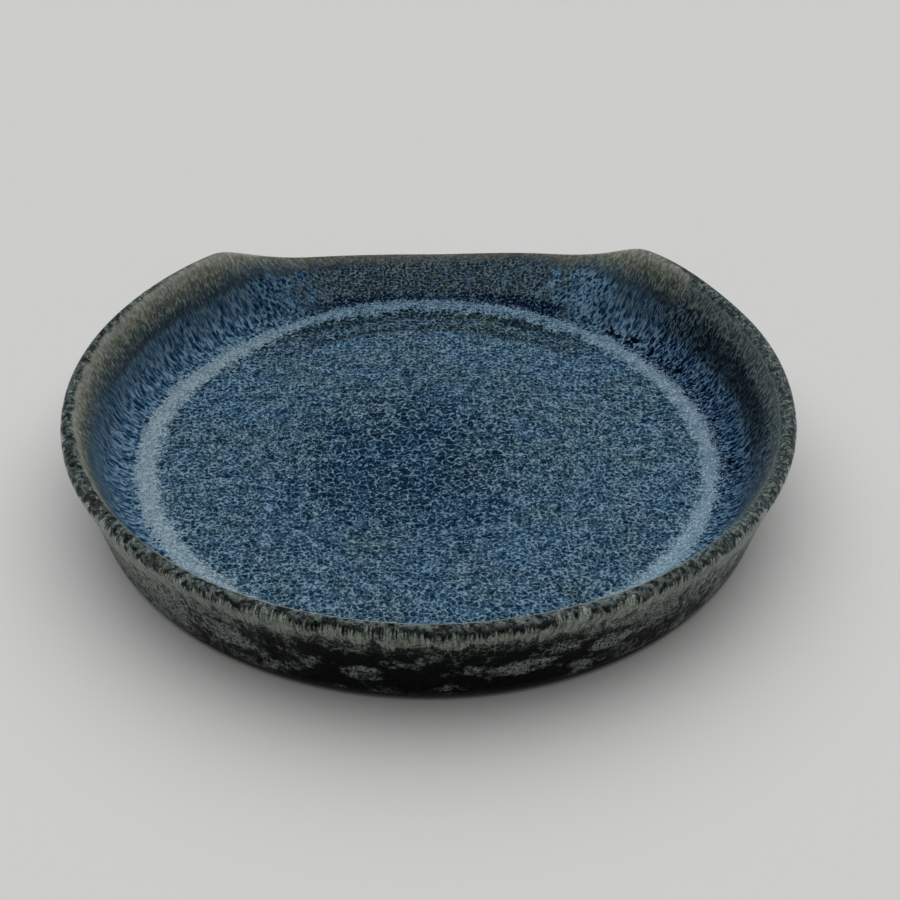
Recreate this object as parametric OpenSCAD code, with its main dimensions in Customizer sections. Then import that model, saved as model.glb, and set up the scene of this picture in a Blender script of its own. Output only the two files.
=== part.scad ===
// Hand-thrown spoon rest: a shallow round dish whose back wall is pressed out and down
// into a saddle between two shoulders, so that a spoon's handle can lie over it.
// One fired clay body carries three glaze coats, which meet edge to edge and leave the foot bare.
// Lengths are in millimetres and angles in degrees. +Z is up, +Y points at the saddle,
// and the origin is the middle of the flat base.

/* [Dish] */
// Diameter over the glazed rim, across the dish
dish_d = 140; // [110:1:180]
// Height of the glazed rim above the table
dish_h = 20.9; // [17:0.1:26]
// Height of the glazed floor above the table
floor_h = 5.6; // [4:0.1:8]
// Radius of the round between the floor and the wall
floor_round = 8; // [5:0.5:9]
// Slope of the wall's inside, above the round
wall_angle = 66; // [58:1:74]
// Thickness of the rounded lip, over its glaze
lip_t = 3.4; // [2.8:0.1:4.4]

/* [Foot] */
// Distance from the rim's edge in to the heel, where the outside of the wall begins
heel_in = 6.3; // [3:0.1:8]
// Height of the heel above the table
heel_h = 1; // [0.5:0.1:2]
// Width of the turned bevel from the heel in to the flat base
bevel_w = 1.6; // [0.5:0.1:4]

/* [Saddle] */
// Slope of the pressed wall in the middle of the saddle
saddle_angle = 5; // [2:1:20]
// Angle round the dish from the middle of the saddle to each shoulder
shoulder_angle = 41.5; // [28:0.5:55]
// Extra length of the wall at the right shoulder, which stands a little higher than the left
shoulder_lift = 1.3; // [0.2:0.1:3]

/* [Glaze] */
// Thickness of each glaze coat
glaze_t = 0.6; // [0.3:0.1:1]
// Reach of the rim coat down the inside of the wall, from the lip
rim_inside = 3; // [1:0.1:5]
// Reach of the rim coat down the outside of the wall, from the lip
rim_outside = 5; // [2:0.1:7]
// Width of the strip of clay left bare above the heel
bare_strip = 0.8; // [0.4:0.1:1.5]

/* [Hidden] */
// Powers of the saddle's curve: how flat its middle is, and how crisp its shoulders are
dip_power = 3.6;
crisp_power = 8;
// Half angle of the shaped part of the wall, as a share of the shoulder angle
shaped_share = 1.3;
shaped_half = shaped_share * shoulder_angle;
// Middle and spread of the higher shoulder, as shares of the shoulder angle
lift_at_share = 1.1;
lift_spread_share = 0.34;
// Steps along each stretch of the section, and round the shaped and plain parts of the wall
round_steps = 6;
wall_steps = 2;
edge_steps = 1;
lip_steps = 6;
drip_steps = 2;
outside_steps = 3;
shaped_steps = 44;
plain_steps = 52;
shaped_step = 2 * shaped_half / shaped_steps;
plain_step = (360 - 2 * shaped_half) / plain_steps;
// Angles of the sections from the middle of the saddle, once round the dish
stations = concat(
    [for (i = [0 : shaped_steps - 1]) shaped_half - i * shaped_step],
    [for (i = [0 : plain_steps - 1]) wrapped(-shaped_half - i * plain_step)]
);

rim_r = dish_d / 2;
lip_r = lip_t / 2;
heel = [rim_r - heel_in, heel_h];
foot_r = heel.x - bevel_w;

// The plain section fixes the floor's edge and the length of clay in the wall.
// The saddle keeps both, because pressing the wall down only bends it.
wall_top = [rim_r - lip_r, dish_h - lip_r] + lip_r * inward(wall_angle);
plain_straight = (wall_top.y - floor_h - floor_round * (1 - cos(wall_angle))) / sin(wall_angle);
floor_r = wall_top.x - floor_round * sin(wall_angle) - plain_straight * cos(wall_angle);
round_mid = [floor_r, floor_h + floor_round];
wall_len = round_len(wall_angle) + plain_straight;

// Directions up a wall of slope t, and from that wall into the hollow
function along(t) = [cos(t), sin(t)];
function inward(t) = [-sin(t), cos(t)];
function round_len(t) = floor_round * t * PI / 180;
function wrapped(d) = d < -180 ? d + 360 : d;
function reversed(list) = [for (k = [len(list) - 1 : -1 : 0]) list[k]];
function rest(list) = [for (k = [1 : len(list) - 1]) list[k]];

// Slope of the wall at d degrees from the middle of the saddle: almost level across the middle,
// then rising steeply to a crisp shoulder and the plain wall
function lean(d) =
    let (rise = pow(abs(d) / shoulder_angle, dip_power))
    abs(d) >= shaped_half ? wall_angle
    : saddle_angle + (wall_angle - saddle_angle) * rise / pow(1 + pow(rise, crisp_power), 1 / crisp_power);

// Length of the wall above the round at d, with the right shoulder's lift
function lift(d) = shoulder_lift * exp(-pow((d / shoulder_angle - lift_at_share) / lift_spread_share, 2));
function straight_len(d) = wall_len - round_len(lean(d)) + lift(d);

// Points of the section at d as [radius, height], at a depth below the glaze's surface
function round_pt(t, depth) = round_mid - (floor_round + depth) * inward(t);
function wall_pt(d, reach, depth) = round_pt(lean(d), depth) + reach * along(lean(d));
function lip_mid(d) = wall_pt(d, straight_len(d), lip_r);
function lip_pt(d, turn, depth) =
    lip_mid(d) + (lip_r - depth) * (cos(turn) * inward(lean(d)) + sin(turn) * along(lean(d)));

// The outside is one cubic curve from the lip (u = 0) to the heel (u = 1)
function outside_chord(d) = lip_pt(d, 180, glaze_t) - heel;
function outside_pt(d, u, depth) =
    let (
        chord = outside_chord(d),
        rise = chord / norm(chord),
        top = lip_pt(d, 180, depth),
        low = heel + (glaze_t - depth) * [rise.y, -rise.x],
        pull = norm(chord) / 3
    )
    pow(1 - u, 3) * top
    + 3 * pow(1 - u, 2) * u * (top - pull * along(lean(d)))
    + 3 * (1 - u) * pow(u, 2) * (low + pull * rise)
    + pow(u, 3) * low;
function drip_end(d) = rim_outside / norm(outside_chord(d));
function glaze_line(d) = 1 - bare_strip / norm(outside_chord(d));

// The three coats' stretches of the section, each running on from the one before
liner_stretch = function (d, depth)
    let (reach = straight_len(d) - rim_inside)
    concat(
        [for (k = [0 : round_steps]) round_pt(lean(d) * k / round_steps, depth)],
        [for (k = [1 : wall_steps]) wall_pt(d, reach * k / wall_steps, depth)]
    );
rim_stretch = function (d, depth)
    let (reach = straight_len(d) - rim_inside)
    concat(
        [for (k = [0 : edge_steps]) wall_pt(d, reach + rim_inside * k / edge_steps, depth)],
        [for (k = [1 : lip_steps]) lip_pt(d, 180 * k / lip_steps, depth)],
        [for (k = [1 : drip_steps]) outside_pt(d, drip_end(d) * k / drip_steps, depth)]
    );
outer_stretch = function (d, depth)
    let (top = drip_end(d), low = glaze_line(d))
    [for (k = [0 : outside_steps]) outside_pt(d, top + (low - top) * k / outside_steps, depth)];

// Whole sections: the clay from the floor's edge over the lip to the base,
// and a coat from its surface back along the clay under it
clay_section = function (d) concat(
    liner_stretch(d, glaze_t),
    rest(rim_stretch(d, glaze_t)),
    rest(outer_stretch(d, glaze_t)),
    [heel, [foot_r, 0]]
);
function coat_section(stretch) = function (d) concat(stretch(d, 0), reversed(stretch(d, glaze_t)));

// Skin round the dish through m sections of n points each. It closes on itself across the section
// where the coat is a ring. The diagonal changes sides at point n_out, where the section turns back,
// so that the back of a coat has the same facets as the clay that it lies on.
function skin_faces(m, n, n_out, is_ring) = [
    for (i = [0 : m - 1], k = [0 : is_ring ? n - 1 : n - 2])
        let (
            a = i * n + k,
            b = i * n + (k + 1) % n,
            c = (i + 1) % m * n + k,
            e = (i + 1) % m * n + (k + 1) % n
        )
        each k < n_out ? [[a, e, b], [a, c, e]] : [[a, c, b], [b, c, e]]
];

// Loft of a section all round the dish. One that isn't a ring is closed by its first and last
// points, which lie in two level planes.
module dish_loft(section, n_out, is_ring) {
    m = len(stations);
    n = len(section(0));
    floor_face = [for (i = [m - 1 : -1 : 0]) i * n];
    base_face = [for (i = [0 : m - 1]) i * n + n - 1];
    polyhedron(
        points = [
            for (d = stations, p = section(d))
                [p.x * sin(d), p.x * cos(d), p.y]
        ],
        faces = concat(skin_faces(m, n, n_out, is_ring), is_ring ? [] : [floor_face, base_face]),
        convexity = 6
    );
}

// Fired clay: flat base, turned bevel, wall and lip, all in one piece
module stoneware_body() {
    color("sienna")
    dish_loft(clay_section, len(clay_section(0)), false);
}

// Blue glaze that lines the floor and the inside of the wall
module liner_glaze() {
    color("steelblue")
    dish_loft(coat_section(liner_stretch), len(liner_stretch(0, 0)), false);
}

// Olive and green glaze over the lip, which has run a little way down both sides
module rim_glaze() {
    color("darkolivegreen")
    dish_loft(coat_section(rim_stretch), len(rim_stretch(0, 0)), true);
}

// Black and grey-green glaze on the outside, down to the bare strip above the heel
module outer_glaze() {
    color("darkslategray")
    dish_loft(coat_section(outer_stretch), len(outer_stretch(0, 0)), true);
}

stoneware_body();
liner_glaze();
rim_glaze();
outer_glaze();
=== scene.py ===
# %% [markdown]
# This lesson dresses a hand-thrown spoon rest: a shallow round dish of stoneware whose back wall was pressed
# out and down while the clay was soft, so that a spoon's handle can lie over it.
# The frame holds the pot at its real size, as one clay body and three coats of glaze. Those solids are
# coarse, so each is made again here as a fine mesh in the same place, with the small unevenness that the
# hand and the kiln leave. After that the glazes get their colours, and the pot is lit and photographed.

# %% Load the frame
import math
import bpy
import numpy as np
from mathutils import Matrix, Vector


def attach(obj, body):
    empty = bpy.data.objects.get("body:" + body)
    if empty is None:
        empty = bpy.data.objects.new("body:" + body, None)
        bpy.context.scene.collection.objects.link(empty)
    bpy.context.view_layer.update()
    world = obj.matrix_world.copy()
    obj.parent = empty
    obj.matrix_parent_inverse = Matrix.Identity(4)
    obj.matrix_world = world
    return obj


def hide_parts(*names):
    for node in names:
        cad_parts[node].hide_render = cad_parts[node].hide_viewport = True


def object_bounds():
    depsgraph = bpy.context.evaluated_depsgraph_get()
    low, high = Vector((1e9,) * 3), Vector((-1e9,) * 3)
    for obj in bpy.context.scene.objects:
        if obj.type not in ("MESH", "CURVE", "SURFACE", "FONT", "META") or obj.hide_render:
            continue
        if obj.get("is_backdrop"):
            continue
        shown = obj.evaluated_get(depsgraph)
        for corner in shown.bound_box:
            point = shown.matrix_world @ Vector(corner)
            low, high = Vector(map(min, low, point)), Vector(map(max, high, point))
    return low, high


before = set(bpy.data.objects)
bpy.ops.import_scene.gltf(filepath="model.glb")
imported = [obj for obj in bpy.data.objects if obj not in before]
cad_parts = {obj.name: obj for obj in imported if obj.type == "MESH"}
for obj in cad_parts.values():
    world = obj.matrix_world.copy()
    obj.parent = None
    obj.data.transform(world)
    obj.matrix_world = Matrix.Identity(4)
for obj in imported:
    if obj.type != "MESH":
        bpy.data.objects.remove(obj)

from types import SimpleNamespace
from mathutils import Matrix, Vector

cad_low, cad_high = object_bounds()
print("frame:", sorted(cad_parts), "size in mm", [round(1000 * s, 1) for s in cad_high - cad_low])

# %% [markdown]
# These are the sizes that the pot was thrown to, in millimetres and degrees, as in the solids of the frame.
# A mesh could also be sampled from the solids, but a section that is written out gives rows of points that
# follow the clay, and a distance along the section that every finish below can use.

# %% Sizes of the pot
MM = 0.001
DISH_D = 140
DISH_H = 20.9
FLOOR_H = 5.6
FLOOR_ROUND = 8
WALL_ANGLE = 66
LIP_T = 3.4
HEEL_IN = 6.3
HEEL_H = 1
BEVEL_W = 1.6
SADDLE_ANGLE = 5
SHOULDER_ANGLE = 41.5
SHOULDER_LIFT = 1.15
GLAZE_T = 0.6
RIM_INSIDE = 3
RIM_OUTSIDE = 5
BARE_STRIP = 0.8
DIP_POWER = 3.6
CRISP_POWER = 8

# %% [markdown]
# A section is drawn with the radius across and the height upwards. Two helpers give directions in it, and
# the sizes of the floor and of the plain wall follow from them.


# %% Directions across the section
def unit(angle):
    """Direction [radius, height] at an angle above level, in radians."""
    return np.stack([np.cos(angle), np.sin(angle)], axis=-1)


def inward(slope):
    """Direction out of a wall of that slope, into the hollow."""
    return unit(slope + math.pi / 2)


LIP_R = LIP_T / 2
HEEL = np.array([DISH_D / 2 - HEEL_IN, HEEL_H])
FOOT_R = HEEL[0] - BEVEL_W
WALL_SLOPE = math.radians(WALL_ANGLE)
wall_top = np.array([DISH_D / 2, DISH_H]) - LIP_R + LIP_R * inward(WALL_SLOPE)
plain_straight = (wall_top[1] - FLOOR_H - FLOOR_ROUND * (1 - math.cos(WALL_SLOPE))) / math.sin(WALL_SLOPE)
FLOOR_R = wall_top[0] - FLOOR_ROUND * math.sin(WALL_SLOPE) - plain_straight * math.cos(WALL_SLOPE)
ROUND_MID = np.array([FLOOR_R, FLOOR_H + FLOOR_ROUND])
WALL_LEN = FLOOR_ROUND * WALL_SLOPE + plain_straight
print("floor radius", round(FLOOR_R, 2), "and length of the wall", round(WALL_LEN, 2))

# %% [markdown]
# The saddle is what makes this dish a spoon rest. A potter bends the soft wall outwards about the edge of
# the floor, so the wall keeps its length and only its slope changes: almost level in the middle, steep at
# the two shoulders. So one formula for the slope at each bearing gives the whole altered wall.
# Two hands never press alike, so small hills in bearing tilt and lift the wall a little more here and there.
# Bearings run clockwise from the middle of the saddle, in degrees.

# %% The altered wall
TILTS = ((18, 4.2, 10), (0, -1, 7), (-17, 1.3, 7))
LIFTS = (
    (1.1 * SHOULDER_ANGLE, SHOULDER_LIFT, 0.34 * SHOULDER_ANGLE),
    (75, 0.45, 25),
    (-46, 0.3, 14),
    (180, 0.35, 40),
)


def hills(d, places):
    """Sum of round hills over bearing d, each given by its bearing, height and spread."""
    total = 0
    for at, height, spread in places:
        away = (d - at + 180) % 360 - 180
        total = total + height * np.exp(-((away / spread) ** 2))
    return total


def bent(d):
    """How far the wall at bearing d stands up: 0 in the middle of the saddle, 1 past its shoulders."""
    climb = (np.abs(d) / SHOULDER_ANGLE) ** DIP_POWER
    return climb / (1 + climb**CRISP_POWER) ** (1 / CRISP_POWER)


def lean(d):
    """Slope of the wall at bearing d, in radians."""
    return np.radians(SADDLE_ANGLE + (WALL_ANGLE - SADDLE_ANGLE) * bent(d) + hills(d, TILTS))


def straight_len(d):
    """Length of the wall above its round at bearing d, with its lifts."""
    return WALL_LEN - FLOOR_ROUND * lean(d) + hills(d, LIFTS)


def wall_pt(d, reach, depth):
    start = ROUND_MID - (FLOOR_ROUND + depth) * inward(lean(d))
    return start + reach[..., None] * unit(lean(d))


def lip_pt(d, turn, depth):
    """Point on the half-round lip. The turn goes from 0 inside to pi outside."""
    middle = wall_pt(d, straight_len(d), LIP_R)
    side = np.cos(turn)[..., None] * inward(lean(d)) + np.sin(turn)[..., None] * unit(lean(d))
    return middle + (LIP_R - depth) * side


# %% [markdown]
# The outside of the wall is one cubic curve. It leaves the lip along the slope of the wall, and it comes
# to the heel along the straight line between its ends.


# %% The outside of the wall
def chord(d):
    """From the heel up to the outer edge of the lip."""
    return lip_pt(d, np.full_like(d, math.pi), GLAZE_T) - HEEL


def chord_len(d):
    return np.linalg.norm(chord(d), axis=-1)


def outside_pt(d, u, depth):
    """Cubic curve from the lip (u = 0) to the heel (u = 1)."""
    length = chord_len(d)[..., None]
    up = chord(d) / length
    out = np.stack([up[..., 1], -up[..., 0]], axis=-1)
    top = lip_pt(d, np.full_like(d, math.pi), depth)
    low = HEEL + (GLAZE_T - depth) * out
    u = u[..., None]
    return (
        (1 - u) ** 3 * top
        + 3 * (1 - u) ** 2 * u * (top - length / 3 * unit(lean(d)))
        + 3 * (1 - u) * u**2 * (low + length / 3 * up)
        + u**3 * low
    )


# %% [markdown]
# The whole section is a list of points: the round at the edge of the floor, the wall, the lip and the
# outside. Numpy works it out for all the bearings at once. Each stretch has its own number of rows, so
# that the coats meet on a row.

# %% Rows of the section
STATIONS = 720
STEP = 360 / STATIONS
BEARINGS = (np.arange(STATIONS) * STEP - 180)[:, None]
ROWS = {"round": 14, "wall": 20, "edge": 5, "lip": 12, "drip": 8, "low": 16}
SHARES = {part: np.arange(1, count + 1) / count for part, count in ROWS.items()}


def section(d, depth):
    """Rows of points from the edge of the floor over the lip to the glaze line, at a depth in the glaze."""
    reach = straight_len(d) - RIM_INSIDE
    drip_end = RIM_OUTSIDE / chord_len(d)
    glaze_line = 1 - BARE_STRIP / chord_len(d)
    bend = lean(d) * np.concatenate([[0], SHARES["round"]])
    return np.concatenate(
        [
            ROUND_MID - (FLOOR_ROUND + depth) * inward(bend),
            wall_pt(d, reach * SHARES["wall"], depth),
            wall_pt(d, reach + RIM_INSIDE * SHARES["edge"], depth),
            lip_pt(d, math.pi * SHARES["lip"] + 0 * d, depth),
            outside_pt(d, drip_end * SHARES["drip"], depth),
            outside_pt(d, drip_end + (glaze_line - drip_end) * SHARES["low"], depth),
        ],
        axis=1,
    )


LINER_END = ROWS["round"] + ROWS["wall"]
LIP_TOP = LINER_END + ROWS["edge"] + ROWS["lip"] // 2
RIM_END = LINER_END + ROWS["edge"] + ROWS["lip"] + ROWS["drip"]
LAST_ROW = RIM_END + ROWS["low"]
skin = section(BEARINGS, 0)

# %% [markdown]
# Every finish needs to know where it is on the pot. Four numbers say so at each point: the run along the
# section from the middle of the floor, the distance past the crest of the lip, how far the wall is pressed
# down, and the bearing. Glaze slides down a steep wall as it melts, which pulls its pattern out lengthways.
# So the pattern also gets a flow map of its own, in which the wall is shortened by that pull.

# %% Places on the glaze
LINE_PULL = 0.36
SADDLE_PULL = 0.85
PULL_STARTS = 56.5
PULL_FULL = 61


def smooth(x, low, high):
    """0 below low, 1 above high, and an even curve between."""
    t = np.clip((x - low) / (high - low), 0, 1)
    return t * t * (3 - 2 * t)


def along_rows(values):
    """Running total of the lengths between rows, from the edge of the floor."""
    return np.concatenate([np.zeros((len(values), 1)), np.cumsum(values, axis=1)], axis=1)


strides = np.linalg.norm(np.diff(skin, axis=1), axis=2)
RUN = FLOOR_R + along_rows(strides)
PAST = RUN - RUN[:, LIP_TOP, None]
PRESS = 1 - bent(BEARINGS)
wall_pull = LINE_PULL + (SADDLE_PULL - LINE_PULL) * PRESS
pull = 1 + (wall_pull - 1) * smooth(RUN[:, 1:], PULL_STARTS, PULL_FULL)
FLOW = FLOOR_R + along_rows(strides * pull)
print("run to the lip's crest", RUN[:, LIP_TOP].min().round(1), "to", RUN[:, LIP_TOP].max().round(1), "mm")

# %% [markdown]
# A thrown and glazed pot is never quite even. The floor keeps faint rings from the fingers, the glaze swells
# where it pools at the foot of the wall, the lip wavers a little, and outside the rim's glaze hangs in short
# runs over a thinner coat. All of this is real relief in the mesh, a few tenths of a millimetre deep.
# A sum of whole waves round the dish makes each wavering line, so it closes on itself without a seam.

# %% Runs of glaze below the lip
DRIP_FRONT = 2.1
DRIP_ASIDE = 0.6
DRIP_SIDES = 3.6
DRIP_WAVERS = ((0.6, range(5, 30), 3), (0.45, range(45, 120), 4))
LIP_HALF = math.pi / 2 * LIP_R


def waver(d, counts, seed):
    """Uneven line round the dish, mostly between -1 and 1, from counts of whole waves."""
    phases = np.random.default_rng(seed).uniform(0, 2 * math.pi, len(counts))
    waves = [np.cos(count * np.radians(d) + phase) for count, phase in zip(counts, phases)]
    return sum(waves) / math.sqrt(len(counts))


aside = np.abs(np.sin(np.radians(BEARINGS)))
drip_len = DRIP_FRONT + DRIP_ASIDE * aside + DRIP_SIDES * smooth(aside, 0.5, 0.95)
for size, counts, seed in DRIP_WAVERS:
    drip_len = drip_len + size * waver(BEARINGS, counts, seed)
HANG = drip_len - (PAST - LIP_HALF)
print("runs of", drip_len.min().round(1), "to", drip_len.max().round(1), "mm")

# %% Rings and pool on the floor
FINGER_H = 0.05
FINGER_PITCH = 7.5
FINGER_FROM = (3, 12)
FINGER_TO = (44, 52)
RING_R = 55
POOL_H = 0.25
POOL_W = 2.2


def floor_relief(run, d):
    """Finger rings in a slow spiral, and the pool at the foot of the wall."""
    rings = FINGER_H * np.sin(2 * math.pi * (run / FINGER_PITCH - d / 360))
    shown = smooth(run, *FINGER_FROM) * (1 - smooth(run, *FINGER_TO))
    return rings * shown + POOL_H * np.exp(-(((run - RING_R) / POOL_W) ** 2))


# %% Relief of the section
LIP_WAVER = 0.07
LIP_WAVES = range(2, 14)
LIP_REACH = 5
OUTSIDE_FADE = 1.2
DRIP_EDGE = 0.5
DRIP_H = 0.2
EDGE_ROLL = 0.7
ROLL_SHARE = 0.9
SINK = 0.07


def wall_relief():
    """Relief of the rows from the floor's edge to the glaze line."""
    near_lip = np.exp(-((PAST / LIP_REACH) ** 2))
    lip = near_lip * (LIP_WAVER * waver(BEARINGS, LIP_WAVES, 5) - 2 * LIP_WAVER)
    outside = smooth(PAST, LIP_HALF, LIP_HALF + OUTSIDE_FADE)
    thin = -DRIP_H * outside * (1 - smooth(HANG, -DRIP_EDGE, DRIP_EDGE))
    to_edge = np.clip(1 - (RUN[:, -1:] - RUN) / EDGE_ROLL, 0, 1)
    roll = -ROLL_SHARE * (GLAZE_T - DRIP_H) * (1 - np.sqrt(1 - to_edge**2))
    return floor_relief(RUN, BEARINGS) + lip + thin + roll - SINK * outside


relief = wall_relief()
heading = np.gradient(skin, axis=1)
heading /= np.linalg.norm(heading, axis=2, keepdims=True)
normal = np.stack([-heading[..., 1], heading[..., 0]], axis=-1)
SURFACE = skin + relief[..., None] * normal
UNDER = section(BEARINGS, GLAZE_T)
print("relief from", relief.min().round(2), "to", relief.max().round(2), "mm")

# %% [markdown]
# Now the meshes. Walls are rows of points joined all round the dish. A floor made the same way would end in
# a fan of slivers, so the floor is an even square net pulled round until its border is a circle.
# Every piece is a closed skin, so that it also works as a solid.


# %% Nets and bands of faces
def pulled_net():
    """Square net pulled into a disc of radius 1: its points, its faces, and its border by bearing."""
    count = STATIONS // 4
    line = np.linspace(-1, 1, count + 1)
    a, b = np.meshgrid(line, line, indexing="ij")
    wide = np.abs(a) >= np.abs(b)
    radius = np.where(wide, a, b)
    turn = math.pi / 4 * np.where(wide, b, a) / np.where(radius == 0, 1, radius)
    angle = np.where(wide, turn, math.pi / 2 - turn)
    points = np.stack([radius * np.cos(angle), radius * np.sin(angle)], axis=-1).reshape(-1, 2)
    ids = np.arange(len(points)).reshape(count + 1, count + 1)
    corners = [ids[:-1, :-1], ids[1:, :-1], ids[1:, 1:], ids[:-1, 1:]]
    on_border = np.maximum(np.abs(a), np.abs(b)).ravel() > 1 - 1e-9
    border = ids.ravel()[on_border]
    bearing = np.degrees(np.arctan2(points[border, 0], points[border, 1]))
    order = np.rint((bearing + 180) / STEP).astype(int) % STATIONS
    return points, np.stack([c.ravel() for c in corners], axis=1), border[np.argsort(order)]


NET, NET_FACES, NET_BORDER = pulled_net()


def band(inner, outer):
    """Faces between two rows round the dish, which look up where the rows lie on the floor."""
    return np.stack([inner, np.roll(inner, -1), np.roll(outer, -1), outer], axis=1)


def turned(rows):
    """Points in space of rows [radius, height] at every bearing, row by row."""
    d = np.radians(BEARINGS)
    space = np.stack([rows[..., 0] * np.sin(d), rows[..., 0] * np.cos(d), rows[..., 1]], axis=-1)
    return space.transpose(1, 0, 2).reshape(-1, 3)


def row_ids(count, start):
    return start + np.arange(count * STATIONS).reshape(count, STATIONS)


print("net of", len(NET_FACES), "faces with a border of", len(NET_BORDER))

# %% [markdown]
# A piece is a mesh object made of such points and faces. Its marks are attributes: three vectors at every
# point, which shader nodes can read by name.

# %% Pieces from points and faces
HARD_EDGE = math.radians(50)


def placed(name, data):
    made = bpy.data.objects.new(name, data)
    bpy.context.scene.collection.objects.link(made)
    return made


def piece(name, points, faces, marks):
    """Mesh object with smooth shading, hard edges, and its marks at every point."""
    mesh = bpy.data.meshes.new(name)
    mesh.from_pydata(points * MM, [], faces)
    for mark, values in marks.items():
        layer = mesh.attributes.new(mark, "FLOAT_VECTOR", "POINT")
        layer.data.foreach_set("vector", values.astype(np.float32).ravel())
    mesh.shade_smooth()
    mesh.set_sharp_from_angle(angle=HARD_EDGE)
    print(name, "has", len(points), "points and", len(faces), "faces")
    return placed(name, mesh)


def marks_of(run, past, press, hang, flow, d):
    """What the finishes read at each point: place, bearing and flow."""
    d = np.radians(d)
    flow_map = np.stack([flow * np.sin(d), flow * np.cos(d), 0 * flow], axis=-1)
    bearing = np.stack([np.sin(d), np.cos(d), hang], axis=-1)
    return {"place": np.stack([run, past, press], axis=-1), "bearing": bearing, "flow": flow_map}


def row_marks(first, last):
    """The marks of the rows from first to last, row by row."""
    full = np.broadcast_arrays(RUN, PAST, PRESS, HANG, FLOW, BEARINGS)
    return marks_of(*[values[:, first : last + 1].T.ravel() for values in full])


def joined(*parts):
    return {mark: np.concatenate([part[mark] for part in parts]) for mark in parts[0]}


# %% [markdown]
# The rim's coat and the outside coat are rings. Their section goes down the surface and back up along the
# clay, and the last row joins the first.

# %% Ring coats
BACK_EVERY = 4


def ring_coat(name, first, last):
    """Closed ring of glaze over the rows from first to last, with a plainer back against the clay."""
    back = np.unique(np.append(np.arange(first, last, BACK_EVERY), last))[::-1]
    rows = np.concatenate([SURFACE[:, first : last + 1], UNDER[:, back]], axis=1)
    ids = row_ids(rows.shape[1], 0)
    faces = np.concatenate([band(ids[k - 1], ids[k]) for k in range(len(ids))])
    front_marks = row_marks(first, last)
    back_marks = joined(*[row_marks(row, row) for row in back])
    return piece(name, turned(rows), faces.tolist(), joined(front_marks, back_marks))


olive_rim = ring_coat("olive_rim_coat", LINER_END, RIM_END)
dark_outside = ring_coat("dark_outside_coat", RIM_END, LAST_ROW)

# %% [markdown]
# The blue liner is a disc with a wall: the net for the floor, then rows up the wall, then back along the
# clay. In the middle of the floor the drops are a little wider, so the flow map is shorter there.

# %% Blue liner
MIDDLE_PULL = 0.86
MIDDLE_R = (8, 40)


def blue_liner_coat():
    radius = FLOOR_R * np.hypot(NET[:, 0], NET[:, 1])
    d = np.degrees(np.arctan2(NET[:, 0], NET[:, 1]))
    floor_z = FLOOR_H + floor_relief(radius, d)
    floor_points = np.column_stack([FLOOR_R * NET, floor_z])
    back = np.arange(LINER_END, -1, -1)
    back = back[(back % BACK_EVERY == 0) | (back == LINER_END)]
    rows = np.concatenate([SURFACE[:, 1 : LINER_END + 1], UNDER[:, back]], axis=1)
    ids = np.concatenate([NET_BORDER[None], row_ids(rows.shape[1], len(NET))])
    faces = [NET_FACES] + [band(ids[k], ids[k + 1]) for k in range(len(ids) - 1)]
    middle = MIDDLE_PULL + (1 - MIDDLE_PULL) * smooth(radius, *MIDDLE_R)
    floor_marks = marks_of(radius, radius - RUN[0, LIP_TOP], 0 * radius, 0 * radius, radius * middle, d)
    marks = joined(floor_marks, row_marks(1, LINER_END), *[row_marks(row, row) for row in back])
    faces = np.concatenate(faces).tolist() + [ids[-1].tolist()]
    return piece("blue_liner_coat", np.concatenate([floor_points, turned(rows)]), faces, marks)


blue_liner = blue_liner_coat()

# %% [markdown]
# The clay shows only below the glaze line: a narrow strip, the heel, the turned bevel and the base. There
# the rows are close together and the corners are worn round. The base keeps fine rings from the tool.

# %% Clay body
CORNER = 0.45
CORNER_ROWS = 5
TOOL_H = 0.05
TOOL_PITCH = 2.3
TOOL_TO = (56, 61)


def worn_corner(before, corner, after):
    """Short curve round a corner, starting and ending CORNER away from it."""
    start = corner + CORNER * (before - corner) / np.linalg.norm(before - corner)
    end = corner + CORNER * (after - corner) / np.linalg.norm(after - corner)
    t = np.linspace(0, 1, CORNER_ROWS)[:, None]
    return (1 - t) ** 2 * start + 2 * t * (1 - t) * corner + t**2 * end


def thrown_clay_body():
    covered = np.arange(0, LAST_ROW + 1, BACK_EVERY)
    foot = np.array([FOOT_R, 0])
    above_heel = HEEL + chord(np.array([[180.0]]))[0, 0]
    turns = np.concatenate([worn_corner(above_heel, HEEL, foot), worn_corner(HEEL, foot, np.zeros(2))])
    rows = np.concatenate([UNDER[:, covered], np.tile(turns, (STATIONS, 1, 1))], axis=1)
    ids = row_ids(rows.shape[1], 0)
    radius = (FOOT_R - CORNER) * np.hypot(NET[:, 0], NET[:, 1])
    rings = TOOL_H * (1 + np.sin(2 * math.pi * radius / TOOL_PITCH))
    base = np.column_stack([(FOOT_R - CORNER) * NET, rings * (1 - smooth(radius, *TOOL_TO))])
    base_ids = ids.size + np.arange(len(NET))
    faces = [band(ids[k], ids[k + 1]) for k in range(len(ids) - 1)]
    faces += [band(ids[-1], base_ids[NET_BORDER]), base_ids[NET_FACES][:, ::-1]]
    top = ids[0][::-1].tolist()
    points = np.concatenate([turned(rows), base])
    return piece("thrown_clay_body", points, np.concatenate(faces).tolist() + [top], {})


thrown_clay = thrown_clay_body()

# %% [markdown]
# Finishes are built from shader nodes. Written node by node, a glaze would fill pages, so one small class
# wraps a socket and lets Python's own signs add the Math nodes. Any other node comes from its node method,
# which sets the node's settings first and then fills or links its sockets.


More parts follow.
